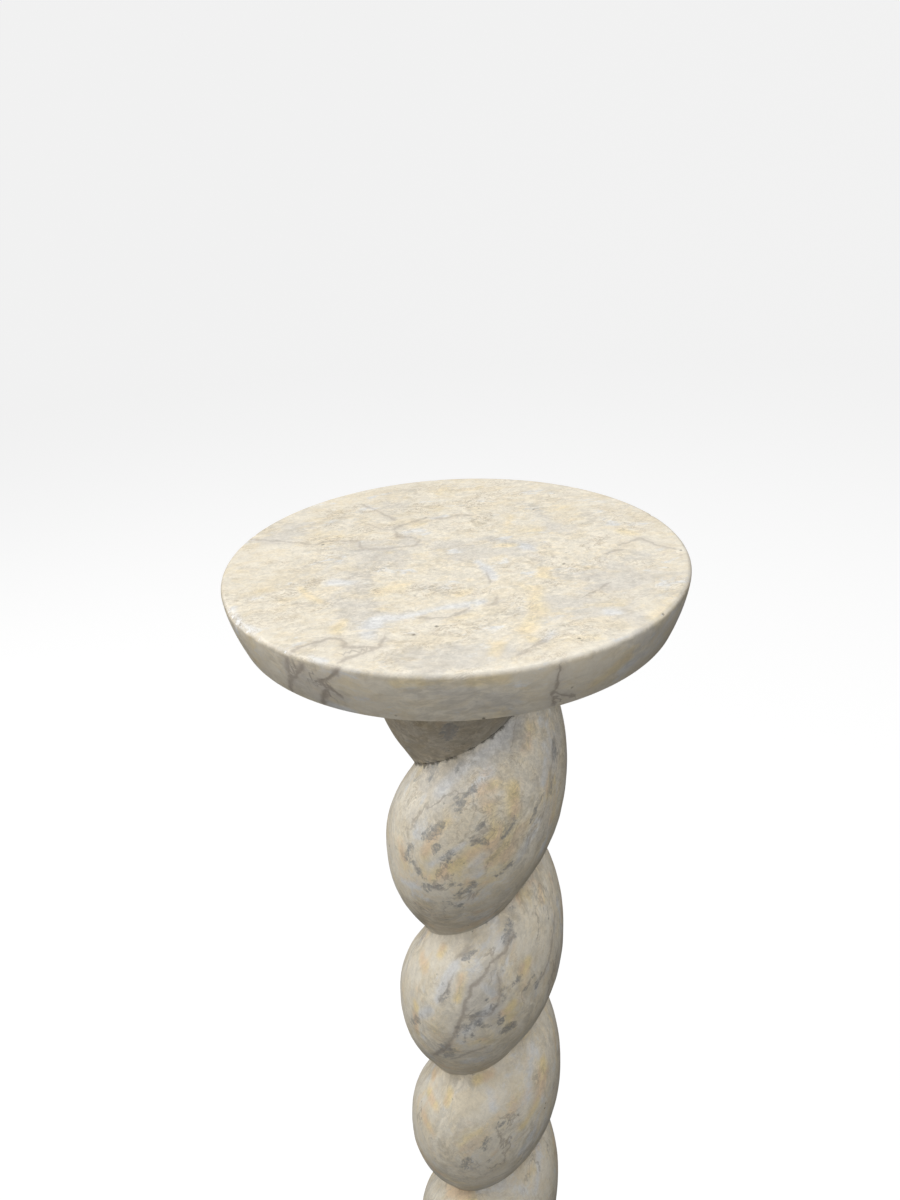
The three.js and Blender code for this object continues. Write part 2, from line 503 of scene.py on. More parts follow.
def top_bands(slab):
    """Broad marks on the top slab, as (half width, path) by the colour they take."""
    face = {
        "pale": (
            (7, ((-47, -95), (-42, -79), (-25, -78))), (5, ((-25, -78), (-9, -71), (14, -66))),
            (8, ((-32, 39), (-22, 41))), (4, ((-14, 61), (-5, 64))),
            (5, ((14, -13), (19, -25), (22, -37))), (5, ((41, 9), (49, 0))),
            (6, ((78, -84), (84, -86))), (5, ((43, -111), (47, -104))),
            (4, ((-74, -116), (-66, -120))), (7, ((-72, -33), (-62, -33))),
            (4, ((-124, -58), (-116, -76), (-106, -86))),
        ),
        "ochre": (
            (9, ((44, -55), (42, -78), (35, -100))), (7, ((39, 55), (35, 45))),
            (5, ((38, 9), (31, 10))),
            (4, ((-90, -36), (-79, -53), (-72, -58))), (6, ((-60, -79), (-64, -92))),
            (9, ((-42, -46), (-30, -40))), (7, ((52, -27), (50, -35))), (6, ((20, -114), (17, -123))),
            (5, ((38, -111), (36, -108))), (7, ((106, 22), (112, 18))), (5, ((8, -50), (2, -55))),
            (9, ((104, -92), (112, -78))),
        ),
        "cool": (
            (26, ((-104, 61), (-68, 56), (-39, 76))), (20, ((-52, 10), (-21, 6), (14, 2))),
            (15, ((-53, -12), (-49, -82))), (20, ((80, -36), (123, -54))), (16, ((55, -74), (85, -85))),
            (13, ((53, 76), (65, 30))), (12, ((-19, -120), (39, -121))), (8, ((-20, -42), (-5, -52))),
            (8, ((23, 22), (41, 9))),
        ),
        "slate": (
            (5, ((-47, -16), (-37, -14))), (5, ((-20, -42), (-5, -52))), (5, ((23, 22), (41, 9))),
            (4, ((53, 76), (58, 66))),
        ),
    }
    side = {
        "pale": ((5, ((-120, 29), (-114, 30))), (7, ((-52, 20), (-26, 12)))),
        "ochre": ((5, ((-88, 4), (-81, 5))), (4, ((-103, 5), (-98, 4))), (6, ((-60, 22), (-52, 14)))),
        "cool": (
            (9, ((-91, 15), (-69, 23))), (10, ((-54, 13), (-31, 4))), (12, ((-130, 20), (-118, 22))),
        ),
    }
    return {
        colour: put_marks(marks, on_top) + put_marks(side.get(colour, ()), on_side, slab)
        for colour, marks in face.items()}


def shaft_veins(shaft):
    """Thin veins on the shaft's front, as (azimuth, drop)."""
    veins = (
        (3.2, 0.9, ((-63, 243), (-72, 253), (-83, 259), (-88, 268), (-97, 276), (-101, 288))),
        (3.4, 0.9, ((-101, 288), (-103, 300), (-107, 315), (-115, 338), (-129, 363))),
        (2.6, 0.7, ((-79, 266), (-78, 278), (-81, 291), (-85, 299), (-103, 303))),
        (2.4, 0.6, ((-111, 262), (-99, 252))),
        (2.4, 0.6, ((-112, 274), (-115, 285), (-121, 297))),
        (2.6, 0.7, ((-23, 248), (-33, 262), (-40, 275), (-48, 284))),
        (2.2, 0.6, ((-26, 91), (-35, 104), (-42, 122), (-50, 138))),
        (2.4, 0.8, ((-104, 57), (-108, 71))),
        (2.8, 0.7, ((-89, 334), (-100, 342), (-115, 358))),
        (2.6, 0.6, ((-28, 276), (-36, 292), (-42, 309))),
    )
    return put_marks(veins, on_shaft, shaft)


def shaft_bands(shaft):
    """Broad marks on the shaft's front, as (half width, path) by the colour they take."""
    marks = {
        "pale": (
            (9, ((-49, 72), (-68, 79), (-86, 89), (-106, 102), (-116, 113))),
            (6, ((-79, 96), (-92, 107))),
            (4, ((-98, 142), (-106, 150), (-119, 164))), (6, ((-52, 138), (-59, 148), (-66, 163))),
            (4, ((-40, 99), (-45, 113))),
            (6, ((-111, 266), (-118, 282), (-123, 297))), (6, ((-128, 308), (-139, 324))),
            (6, ((-70, 243), (-76, 251))), (7, ((-86, 294), (-94, 306), (-102, 318))),
            (4, ((-41, 275), (-41, 283))),
            (6, ((-37, 381), (-50, 399), (-58, 416))), (7, ((-87, 405), (-85, 416))),
            (6, ((-20, 528), (-44, 555))),
            (5, ((-145, 195), (-130, 189))), (5, ((-90, 275), (-81, 283))),
            (4, ((-35, 386), (-45, 426))),
        ),
        "ochre": (
            (6, ((-87, 107), (-76, 103))), (10, ((-82, 118), (-79, 132), (-84, 142))),
            (8, ((-90, 143), (-102, 157), (-120, 177))), (7, ((-107, 128), (-116, 140), (-123, 158))),
            (9, ((-41, 77), (-48, 87))), (9, ((-64, 106), (-68, 122))),
            (9, ((-150, 281), (-141, 282))), (6, ((-127, 262), (-129, 266))),
            (6, ((-142, 316), (-142, 344))), (7, ((-57, 264), (-62, 270))),
            (6, ((-70, 293), (-76, 300))),
            (7, ((-105, 271), (-107, 289))),
            (6, ((-165, 430), (-158, 429))), (7, ((-152, 438), (-138, 438))),
            (6, ((-126, 419), (-128, 428))),
            (9, ((-147, 458), (-138, 461))), (7, ((-82, 393), (-100, 401))),
            (8, ((-35, 395), (-44, 414), (-54, 428), (-64, 438))), (12, ((-122, 561), (-145, 574))),
        ),
        "cool": (
            (9, ((-104, 300), (-90, 283), (-76, 268))), (14, ((-130, 140), (-108, 112))),
            (10, ((-60, 80), (-86, 92), (-108, 106))), (6, ((-40, 124), (-44, 141), (-49, 149))),
            (7, ((-92, 286), (-80, 317))), (6, ((-99, 326), (-86, 341))),
            (8, ((-47, 109), (-23, 94))),
        ),
        "slate": (
            (5, ((-105, 113), (-99, 120))), (3, ((-98, 112), (-91, 106))),
            (3, ((-142, 109), (-126, 104))), (2.5, ((-103, 95), (-105, 99))),
            (3.5, ((-112, 132), (-116, 138), (-124, 145))), (3, ((-86, 127), (-90, 132))),
            (3.5, ((-93, 138), (-87, 140))), (4, ((-104, 149), (-110, 157), (-106, 157))),
            (3, ((-113, 148), (-116, 153))), (4, ((-127, 175),)),
            (3, ((-126, 187), (-109, 178), (-92, 174))), (4, ((-95, 180), (-104, 187))),
            (3, ((-133, 154), (-139, 169), (-132, 170))), (3, ((-158, 181),)),
            (3.5, ((-110, 197), (-103, 199))), (3.5, ((-78, 170), (-70, 162))),
            (2.5, ((-46, 119), (-52, 125), (-58, 135))), (2.5, ((-27, 93), (-29, 99))),
            (2.5, ((-67, 127), (-70, 134), (-75, 139))), (4.5, ((-104, 56), (-108, 72))),
            (4.5, ((-62, 236), (-66, 243))), (3, ((-53, 226), (-63, 230))),
            (3, ((-115, 282), (-115, 290), (-120, 295))), (3.5, ((-139, 327), (-148, 342))),
            (4, ((-96, 303), (-90, 298))), (4, ((-71, 316), (-78, 320))),
            (3.5, ((-106, 313), (-109, 324))), (4, ((-116, 339), (-125, 356))),
            (3, ((-63, 272), (-70, 278))), (3, ((-48, 280), (-53, 288))),
            (5, ((-89, 444), (-93, 453))), (5, ((-103, 471), (-107, 480))),
            (5, ((-78, 428), (-81, 433))),
            (3, ((-138, 104), (-128, 109))), (2.5, ((-126, 101), (-120, 104))),
            (2.5, ((-148, 120), (-145, 117))), (2.5, ((-49, 118), (-48, 127))),
            (2.5, ((-28, 97), (-31, 104))), (2.5, ((-35, 112), (-40, 120))),
            (3, ((-76, 278), (-78, 290))), (3, ((-96, 306), (-87, 311))),
            (3.5, ((-81, 300), (-78, 310))), (3, ((-62, 285), (-55, 277))),
            (3, ((-104, 331), (-101, 313))), (3, ((-99, 317), (-94, 326))),
            (2, ((-104, 259), (-94, 253))), (2.5, ((-87, 286), (-83, 294))),
            (3.5, ((-121, 360), (-111, 340))),
        ),
    }
    return {colour: put_marks(bands, on_shaft, shaft) for colour, bands in marks.items()}


# The stone's material

class NodeKit:
    """Adds shader nodes to one material and wires each as it is added."""

    def __init__(self, material):
        self.tree = material.node_tree

    def add(self, kind, inputs=(), **settings):
        """A node with its settings, and its inputs wired or set by name or number."""
        node = self.tree.nodes.new(kind)
        for key, value in settings.items():
            setattr(node, key, value)
        for key, value in dict(inputs).items():
            if isinstance(value, bpy.types.NodeSocket):
                self.tree.links.new(value, node.inputs[key])
            else:
                node.inputs[key].default_value = value
        return node

    def math(self, operation, first, second=0.0):
        """One sum."""
        return self.add('ShaderNodeMath', {0: first, 1: second}, operation=operation).outputs[0]

    def plus(self, first, second):
        """One number and another."""
        return self.math('ADD', first, second)

    def minus(self, first, second):
        """One number less another."""
        return self.math('SUBTRACT', first, second)

    def times(self, first, second):
        """One number times another."""
        return self.math('MULTIPLY', first, second)

    def cloud(self, vector, size, detail=4.0, roughness=0.5, distortion=0.0, shift=0.0):
        """Soft noise from 0 to 1 whose lumps are about as large as size."""
        if shift:
            vector = self.add(
                'ShaderNodeVectorMath', {0: vector, 1: (shift, -shift, 2 * shift)},
                operation='ADD').outputs[0]
        return self.add('ShaderNodeTexNoise', {
            'Vector': vector, 'Scale': 1 / size, 'Detail': detail, 'Roughness': roughness,
            'Distortion': distortion}).outputs[0]

    def step(self, value, low, high):
        """Smooth step from 0 at low to 1 at high, which may lie below low."""
        return self.add('ShaderNodeMapRange', {
            'Value': value, 'From Min': low, 'From Max': high},
            interpolation_type='SMOOTHSTEP').outputs[0]

    def blend(self, factor, first, second, blend_type='MIX'):
        """One colour over another."""
        return self.add(
            'ShaderNodeMix', {0: factor, 6: first, 7: second}, data_type='RGBA',
            blend_type=blend_type).outputs[2]

    def shade(self, colour, mask, dark, light):
        """A colour times dark where the mask is 0 and times light where it is 1."""
        tone = self.blend(mask, rgba([dark] * 3), rgba([light] * 3))
        return self.blend(1.0, colour, tone, 'MULTIPLY')

    def span(self, value, low, high, low_result, high_result):
        """A value from one range drawn out to another."""
        return self.add('ShaderNodeMapRange', {
            'Value': value, 'From Min': low, 'From Max': high, 'To Min': low_result,
            'To Max': high_result}).outputs[0]

    def attribute(self, name):
        """A number stored on the piece's vertices."""
        return self.add('ShaderNodeAttribute', attribute_name=name).outputs['Fac']

    def lift(self, value, name, amount):
        """A value raised by amount where the named attribute is 1."""
        return self.plus(value, self.times(self.attribute(name), amount))

    def ridge(self, value):
        """How far soft noise lies from its middle, which is 0 along winding lines."""
        return self.math('ABSOLUTE', self.minus(value, 0.5))

    def relief(self, hollows):
        """A height that sinks by each mask's own depth."""
        height = 0.0
        for mask, depth in hollows:
            height = self.minus(height, self.times(mask, depth))
        return height


def rgba(colour):
    """A settings colour with full alpha."""
    return (*colour, 1.0)


# How a piece's stone lies in its block, and how much of each mark it shows
Finish = namedtuple(
    "Finish",
    "along facing stretch cloud_size clouds bands stains streaks grain blotches veins vein_depth "
    "threads polish")


def stone_material(name, colours, finish):
    """Cream limestone marble, layer on layer, each drawn on the same gently folded block."""
    material = bpy.data.materials.new(name)
    material.use_nodes = True
    material.node_tree.nodes.clear()
    kit = NodeKit(material)
    place = kit.add('ShaderNodeTexCoord').outputs['Object']
    folded = fold_block(kit, place)
    along, facing = Vector(finish.along).normalized(), Vector(finish.facing).normalized()
    slant = Matrix((along, facing.cross(along), facing)).transposed().to_euler()
    bedding = kit.add('ShaderNodeMapping', {
        'Vector': folded, 'Rotation': slant, 'Scale': finish.stretch},
        vector_type='TEXTURE').outputs[0]
    colour, cool = lay_ground(kit, folded, bedding, colours, finish)
    colour = lay_bands(kit, bedding, colours, finish, colour)
    colour = lay_stains(kit, bedding, colours, finish, colour)
    colour = lay_threads(kit, bedding, colours, finish, colour, cool)
    colour = lay_tones(kit, place, bedding, colours, finish, colour)
    colour, blotch = lay_blotches(kit, place, bedding, colours, finish, colour)
    colour, vein = lay_veins(kit, place, bedding, colours, finish, colour)
    colour, pore = lay_pores(kit, place, colours, colour)
    colour = lay_rubbed(kit, place, colours, colour)
    colour, broken = lay_broken(kit, place, colours, colour)
    colour, grime = lay_grime(kit, place, colours, colour)
    grain = kit.times(kit.cloud(place, 1.6 * MM, 4.0, 0.7), loudness(kit, 0.7))
    height = kit.relief((
        (grain, -0.25), (pore, 1.4), (blotch, 0.5), (vein, 0.35), (grime, 1.0), (broken, 0.8)))
    bump = kit.add('ShaderNodeBump', {
        'Strength': 0.4, 'Distance': 0.6 * MM, 'Height': height}).outputs[0]
    dull = kit.cloud(folded, 50 * MM, 6.0, 0.6, shift=67.0)
    dull = kit.plus(dull, kit.times(kit.math('MAXIMUM', grime, broken), 0.6))
    rough = kit.span(dull, 0.3, 0.9, finish.polish, finish.polish + 0.3)
    shader = kit.add('ShaderNodeBsdfPrincipled', {
        'Base Color': colour, 'Roughness': rough, 'Normal': bump})
    kit.add('ShaderNodeOutputMaterial', {'Surface': shader.outputs[0]})
    return material


def loudness(kit, share):
    """1 where the stone shows all its fine threads and grain, less by share where it is quiet."""
    return kit.minus(1.0, kit.times(kit.attribute("quiet"), share))


def fold_block(kit, place):
    """Places shoved by slow noise, so that straight layers come out folded."""
    folds_a_metre = 14.0
    reach = 30 * MM
    fold = kit.add('ShaderNodeTexNoise', {
        'Vector': place, 'Scale': folds_a_metre, 'Detail': 3.0}).outputs['Color']
    shove = kit.add('ShaderNodeVectorMath', {0: fold, 1: (0.5, 0.5, 0.5)}, operation='SUBTRACT')
    return kit.add('ShaderNodeVectorMath', {
        0: shove.outputs[0], 1: (reach, reach, reach), 2: place},
        operation='MULTIPLY_ADD').outputs[0]


def lay_ground(kit, folded, bedding, colours, finish):
    """Cream with warm sandy patches and cool clouds. Also says where the clouds are."""
    patches = kit.cloud(bedding, 11 * MM, 8.0, 0.68, shift=1.3)
    warm = kit.times(kit.step(patches, 0.44, 0.60), 0.5)
    colour = kit.blend(warm, rgba(colours.cream), rgba(colours.sand))
    broad = kit.lift(kit.cloud(folded, finish.cloud_size, 8.0, 0.62, shift=3.1), "cool", 0.13)
    small = kit.cloud(bedding, 18 * MM, 7.0, 0.66, shift=71.0)
    both = kit.plus(kit.times(broad, 0.7), kit.times(small, 0.3))
    cool = kit.step(both, 0.485, 0.575)
    return kit.blend(kit.times(cool, finish.clouds), colour, rgba(colours.cloud)), cool


def where_seen(kit, name, rough, most):
    """How much of a colour lies where a broad mark was seen, ragged by the given noise."""
    ragged = kit.times(kit.minus(rough, 0.5), 2.6)
    seen = kit.step(kit.plus(kit.attribute(name), ragged), 0.0, 1.0)
    return kit.times(seen, most)


def lay_bands(kit, bedding, colours, finish, colour):
    """Bluish-white calcite, in bands along the bedding and where it was seen."""
    rough = kit.cloud(bedding, 16 * MM, 7.0, 0.66, shift=7.7)
    share = kit.times(kit.step(rough, 0.57 - 0.05 * finish.bands, 0.68), 0.8)
    share = kit.math('MAXIMUM', share, where_seen(kit, "pale", rough, 0.85))
    return kit.blend(share, colour, rgba(colours.pale))


def lay_stains(kit, bedding, colours, finish, colour):
    """Ochre stains, some yellow and some peach, soft at their edges."""
    rough = kit.cloud(bedding, 20 * MM, 6.0, 0.62, shift=11.3)
    spread = kit.step(rough, 0.56 - 0.04 * finish.stains, 0.71)
    share = kit.times(spread, 0.25 + 0.5 * finish.stains)
    share = kit.math('MAXIMUM', share, where_seen(kit, "ochre", rough, 0.35 + 0.5 * finish.stains))
    hue = kit.step(kit.cloud(bedding, 12 * MM, 4.0, 0.6, shift=79.0), 0.42, 0.58)
    hue = kit.times(hue, finish.stains)
    stain = kit.blend(hue, rgba(colours.ochre), rgba(colours.peach))
    return kit.blend(share, colour, stain)


def lay_threads(kit, bedding, colours, finish, colour, cool):
    """Fine tan threads along the bedding, which crowd in the warm stone."""
    ridge = kit.ridge(kit.cloud(bedding, 6.5 * MM, 7.0, 0.7, distortion=1.0, shift=13.9))
    gate = kit.step(kit.cloud(bedding, 22 * MM, 5.0, 0.6, shift=15.1), 0.46, 0.60)
    warm = kit.span(cool, 0.0, 1.0, 1.0, 0.25)
    share = kit.times(kit.step(ridge, 0.035, 0.0), kit.times(gate, warm))
    share = kit.times(share, kit.times(loudness(kit, 0.85), finish.threads))
    return kit.blend(share, colour, rgba(colours.thread))


def lay_tones(kit, place, bedding, colours, finish, colour):
    """Light and dark streaks along the bedding, sandy grain, and painted shade multiplied in as a film
    where the piece says.
    """
    streak = kit.step(kit.cloud(bedding, 6 * MM, 7.0, 0.7, distortion=0.6, shift=53.0), 0.38, 0.62)
    streaky = kit.shade(colour, streak, 1 - finish.streaks, 1 + 0.5 * finish.streaks)
    where = kit.step(kit.cloud(place, 40 * MM, 5.0, 0.6, shift=61.0), 0.38, 0.58)
    colour = kit.blend(where, colour, streaky)
    grain = kit.step(kit.cloud(place, 2.8 * MM, 5.0, 0.75, distortion=0.8, shift=59.0), 0.34, 0.66)
    grainy = kit.shade(colour, grain, 1 - finish.grain, 1 + 0.65 * finish.grain)
    colour = kit.blend(loudness(kit, 0.7), colour, grainy)
    # Painted shade: the shade film darkens the colour where the piece says
    film = kit.times(kit.attribute("film"), kit.span(streak, 0.0, 1.0, 1.0, 0.7))
    return kit.blend(film, colour, rgba(colours.film), 'MULTIPLY')


def lay_blotches(kit, place, bedding, colours, finish, colour):
    """Small ragged blue-grey blotches in rows along the bedding."""
    spots = kit.cloud(bedding, 3 * MM, 6.0, 0.72, distortion=0.4, shift=17.9)
    rows = kit.cloud(bedding, 14 * MM, 3.0, 0.5, shift=23.3)
    crowd = kit.times(kit.step(rows, 0.46, 0.64), 0.15 * finish.blotches)
    spots = kit.plus(spots, crowd)
    spots = kit.lift(spots, "slate", 0.22)
    inside = kit.span(kit.cloud(place, 2.5 * MM, 4.0, 0.7, shift=19.1), 0.38, 0.60, 0.35, 1.0)
    share = kit.times(kit.step(spots, 0.575, 0.70), inside)
    share = kit.times(share, 0.30 + 0.50 * finish.blotches)
    return kit.blend(share, colour, rgba(colours.slate)), share


def lay_veins(kit, place, bedding, colours, finish, colour):
    """Thin veins with a lilac halo that run where they were seen, and finer ones everywhere."""
    presence = kit.attribute("vein_presence")
    wander = kit.minus(kit.cloud(place, 8 * MM, 6.0, 0.72, shift=5.1), 0.5)
    offset = kit.plus(kit.attribute("vein_offset"), kit.times(wander, 8.0))
    offset = kit.math('ABSOLUTE', offset)
    uneven = kit.span(kit.cloud(place, 10 * MM, 4.0, shift=2.2), 0.35, 0.65, 0.4, 1.1)
    width = kit.times(kit.attribute("vein_width"), uneven)
    laid = kit.times(kit.step(kit.math('DIVIDE', offset, width), 1.0, 0.0), presence)
    halo = kit.times(kit.step(offset, 7.0, 0.5), presence)
    colour = kit.blend(kit.times(halo, 0.5 * finish.vein_depth), colour, rgba(colours.halo))
    ridge = kit.ridge(kit.cloud(bedding, 60 * MM, 7.0, 0.6, shift=31.7))
    gate = kit.step(kit.cloud(place, 45 * MM, 4.0, 0.6, shift=37.1), 0.46, 0.60)
    fine = kit.times(kit.times(kit.step(ridge, 0.011, 0.001), gate), finish.veins)
    vein = kit.math('MAXIMUM', laid, fine)
    return kit.blend(kit.times(vein, finish.vein_depth), colour, rgba(colours.vein)), vein


def lay_pores(kit, place, colours, colour):
    """Pinholes, in loose swarms and where single ones were seen."""
    pores_a_metre = 150.0
    cells = kit.add(
        'ShaderNodeTexVoronoi', {'Vector': place, 'Scale': pores_a_metre}).outputs['Distance']
    gate = kit.step(kit.cloud(place, 12 * MM, 3.0, shift=41.3), 0.60, 0.68)
    swarm = kit.times(kit.step(cells, 0.17, 0.08), gate)
    pore = kit.math('MAXIMUM', swarm, kit.step(kit.attribute("pit_distance"), 1.8, 0.7))
    return kit.blend(kit.times(pore, 0.65), colour, rgba(colours.dirt_and_shade)), pore


def lay_rubbed(kit, place, colours, colour):
    """Edges painted pale: a painted highlight along the arris, and in part real wear, rubbed pale and
    smooth by handling.
    """
    uneven = kit.span(kit.cloud(place, 12 * MM, 4.0, 0.6, shift=73.0), 0.35, 0.65, 0.6, 1.0)
    # Painted highlight along the arris, in part real wear
    rubbed = kit.times(kit.attribute("rubbed"), uneven)
    return kit.blend(kit.times(rubbed, 0.30), colour, rgba(colours.rubbed))


def lay_broken(kit, place, colours, colour):
    """White, rough stone where the edge is chipped."""
    shards = kit.cloud(place, 2.2 * MM, 4.0, 0.7, shift=43.0)
    broken = kit.step(kit.lift(shards, "chipped", 0.4), 0.80, 0.90)
    return kit.blend(kit.times(broken, 0.9), colour, rgba(colours.broken)), broken


def lay_grime(kit, place, colours, colour):
    """Grime that clings where the piece says, and painted shade in the groove's crease."""
    clinging = kit.cloud(place, 4.5 * MM, 7.0, 0.75, shift=47.0)
    gathers = kit.minus(kit.cloud(place, 22 * MM, 3.0, shift=83.0), 0.5)
    clinging = kit.plus(clinging, kit.times(gathers, 0.7))
    # Real grime near the slab, painted crease shade in the other grooves
    grime = kit.times(kit.step(kit.lift(clinging, "grime", 0.46), 0.76, 0.92), 0.8)
    return kit.blend(grime, colour, rgba(colours.dirt_and_shade)), grime


# The pieces

TOP_FINISH = Finish(
    along=(1.0, 0.2, 0.0), facing=(0.0, 0.0, 1.0), stretch=(1.6, 1.0, 0.6), cloud_size=60 * MM,
    clouds=0.6, bands=0.0, stains=0.3, streaks=0.12, grain=0.15, blotches=0.0, veins=0.5,
    vein_depth=0.50, threads=1.0, polish=0.34)
SHAFT_FINISH = Finish(
    along=(0.64, 0.0, 0.77), facing=(-0.33, -0.90, 0.27), stretch=(2.6, 1.5, 0.8), cloud_size=35 * MM,
    clouds=0.45, bands=0.6, stains=1.0, streaks=0.16, grain=0.15, blotches=1.0, veins=0.8,
    vein_depth=0.65, threads=0.7, polish=0.34)
BASE_FINISH = Finish(
    along=(0.9, -0.4, 0.0), facing=(0.0, 0.1, 1.0), stretch=(2.0, 1.1, 0.6), cloud_size=50 * MM,
    clouds=0.7, bands=0.3, stains=0.4, streaks=0.15, grain=0.12, blotches=0.3, veins=0.7,
    vein_depth=0.6, threads=0.6, polish=0.40)


def write_marks(mesh, veins, bands, pits, **levels):
    """Stores all the marks that the stone's material reads. A level is one number or one a vertex."""
    write_veins(mesh, veins)
    write_pits(mesh, pits)
    for colour in ("cool", "pale", "ochre", "slate"):
        write_bands(mesh, colour, bands.get(colour, ()))
    for name in ("grime", "film", "rubbed", "quiet"):
        write_attribute(mesh, name, np.broadcast_to(levels.get(name, 0.0), len(mesh.vertices)))


def slab_wear(mesh, radius, wide_height):
    """How pale a slab's arris is, a painted highlight and in part real rubbing, how smooth its side and
    the rim of its wide face are, and the painted shade film on its side, darker towards azimuth 190."""
    darkened_azimuth = math.radians(190)
    places, _ = mesh_arrays(mesh)
    depth = np.abs(places[:, 2] - wide_height)
    reach = radius - np.hypot(places[:, 0], places[:, 1])
    azimuth = np.arctan2(places[:, 1], places[:, 0])
    # Darker towards azimuth 190, and without the pale arris band there
    darkened = np.clip(np.cos(azimuth - darkened_azimuth), 0.0, 1.0)
    # The pale band round the arris: a painted highlight, and in part real wear
    rubbed = np.exp(-(np.hypot(reach - 1.0 * MM, depth - 0.4 * MM) / (1.1 * MM)) ** 2)
    rubbed = rubbed * (1 - darkened)
    honed = np.clip(depth / (3 * MM), 0.0, 1.0)
    # Painted shade: a film over the side and underside, more in a band just under the arris
    below = np.exp(-((depth - 2.5 * MM) / (1.8 * MM)) ** 2)
    film = 0.10 + 0.38 * darkened + 0.22 * below
    film = film * np.clip(depth / (1.0 * MM), 0.0, 1.0) * (1 - rubbed)
    worn = 0.5 * np.clip((50 * MM - reach) / (35 * MM), 0.0, 1.0)
    return rubbed, np.maximum(np.maximum(rubbed, honed), worn), film


def shaft_grime_and_shade(shaft, stone):
    """Grime in the groove near the slab, and painted crease shade along the rest of it; painted shade
    as a film in the groove, on the neck above its first turn under the top slab, and under the lobes;
    and how quiet the stone is: its grain shows most near the slab."""
    grime, film, quiet = [], [], []
    for vert in stone.verts:
        turn = math.atan2(vert.co.y, vert.co.x)
        share = lobe_share(shaft, turn, vert.co.z)
        depth = 1 - 2 * min(share, 1 - share)
        drop = SHAFT_HIGH.z - vert.co.z
        sheltered = 1 - smooth_step(100 * MM, 150 * MM, drop)
        # Grime in the groove near the slab; the even share in every groove is painted crease shade
        grime.append(smooth_step(0.93, 1.0, depth) * (0.35 + 0.65 * sheltered))
        groove_drop = ((shaft.azimuth - turn) % math.tau) / math.tau * shaft.pitch
        neck = smooth_step(-2 * MM, 2 * MM, groove_drop - drop)
        neck *= 1 - smooth_step(118 * MM, 150 * MM, groove_drop)
        under = 1 - smooth_step(0.05, 0.35, share)
        # Painted shade: the neck under the top slab, the groove's crease, and the underside of each
        # lobe
        film.append(max(neck, 0.55 * smooth_step(0.72, 1.0, depth), 0.75 * under))
        quiet.append(0.65 * smooth_step(110 * MM, 190 * MM, drop))
    return grime, film, quiet


class STAND_OT_top_slab(Operator):
    """Turns the top slab, chips its arris and finishes its stone"""

    bl_idname = "stand.top_slab"
    bl_label = "Top slab"
    bl_options = {'REGISTER', 'UNDO'}

    def execute(self, context):
        settings = context.scene.stand
        chips = (
            (-155, 7, 1.1), (-152, 6, 1.3), (-149, 10, 1.9), (-146, 6, 1.2), (-143, 7, 1.3),
            (-138, 5, 0.9), (-129, 4, 0.8), (-40, 5, 0.8), (20, 6, 1.0), (95, 7, 1.1), (160, 5, 0.9))
        stone = carved_slab(
            settings.slab, TOP_RADIUS, TOP_HIGH.z, TOP_LOW.z, 2.4 * MM, chips)
        material = stone_material("slab_stone", settings.stone, TOP_FINISH)
        piece = finish_piece("Top_slab", stone, material, "top_slab")
        rubbed, quiet, film = slab_wear(piece.data, TOP_RADIUS, TOP_HIGH.z)
        pits = [on_top(-83, 25), on_top(-11, -91), on_top(-23, -99), on_top(55, 68), on_top(64, -22)]
        write_marks(
            piece.data, top_veins(settings.slab), top_bands(settings.slab), pits, rubbed=rubbed,
            quiet=quiet, film=film)
        return {'FINISHED'}


class STAND_OT_twisted_shaft(Operator):
    """Carves the rope twist between the slabs and finishes its stone"""

    bl_idname = "stand.twisted_shaft"
    bl_label = "Twisted shaft"
    bl_options = {'REGISTER', 'UNDO'}

    def execute(self, context):
        settings = context.scene.stand
        shaft = settings.shaft
        stone = twisted_bar(shaft)
        grime, film, quiet = shaft_grime_and_shade(shaft, stone)
        weather(stone, 0.35 * MM, 28 * MM, (SHAFT_HIGH.z, SHAFT_LOW.z))
        bmesh.ops.transform(stone, matrix=lean_matrix(shaft), verts=stone.verts)
        material = stone_material("shaft_stone", settings.stone, SHAFT_FINISH)
        piece = finish_piece("Twisted_shaft", stone, material, "twisted_shaft")
        write_marks(
            piece.data, shaft_veins(shaft), shaft_bands(shaft), (), grime=grime, film=film,
            quiet=quiet)
        return {'FINISHED'}


class STAND_OT_base_slab(Operator):
    """Turns the base slab and finishes its stone"""

    bl_idname = "stand.base_slab"
    bl_label = "Base slab"
    bl_options = {'REGISTER', 'UNDO'}

    def execute(self, context):
        settings = context.scene.stand
        chips = ((-110, 7, 1.2), (-60, 5, 1.0), (15, 8, 1.3), (100, 6, 1.0), (170, 7, 1.2))
        stone = carved_slab(
            settings.slab, BASE_RADIUS, BASE_LOW.z, BASE_HIGH.z, 5 * MM, chips)
        material = stone_material("base_stone", settings.stone, BASE_FINISH)
        piece = finish_piece("Base_slab", stone, material, "base_slab")
        # Darker towards the bottom, where the base stands on the floor
        foot = np.array([1 - smooth_step(2 * MM, 16 * MM, vert.co.z) for vert in piece.data.vertices])
        rubbed, quiet, film = slab_wear(piece.data, BASE_RADIUS, BASE_LOW.z)
        write_marks(
            piece.data, (), {}, (), grime=0.4 * foot, film=film + 0.5 * foot, rubbed=0.5 * rubbed,
            quiet=0.5 * quiet)
        return {'FINISHED'}


class STAND_OT_stage(Operator):
    """Sets up the floor, the light and the camera"""

    bl_idname = "stand.stage"
    bl_label = "Stage"
    bl_options = {'REGISTER', 'UNDO'}

    def execute(self, context):
        stage = context.scene.stand.stage
        make_floor(stage)
        make_lights(stage)
        make_camera(stage)
        context.scene.view_settings.view_transform = 'Standard'
        return {'FINISHED'}


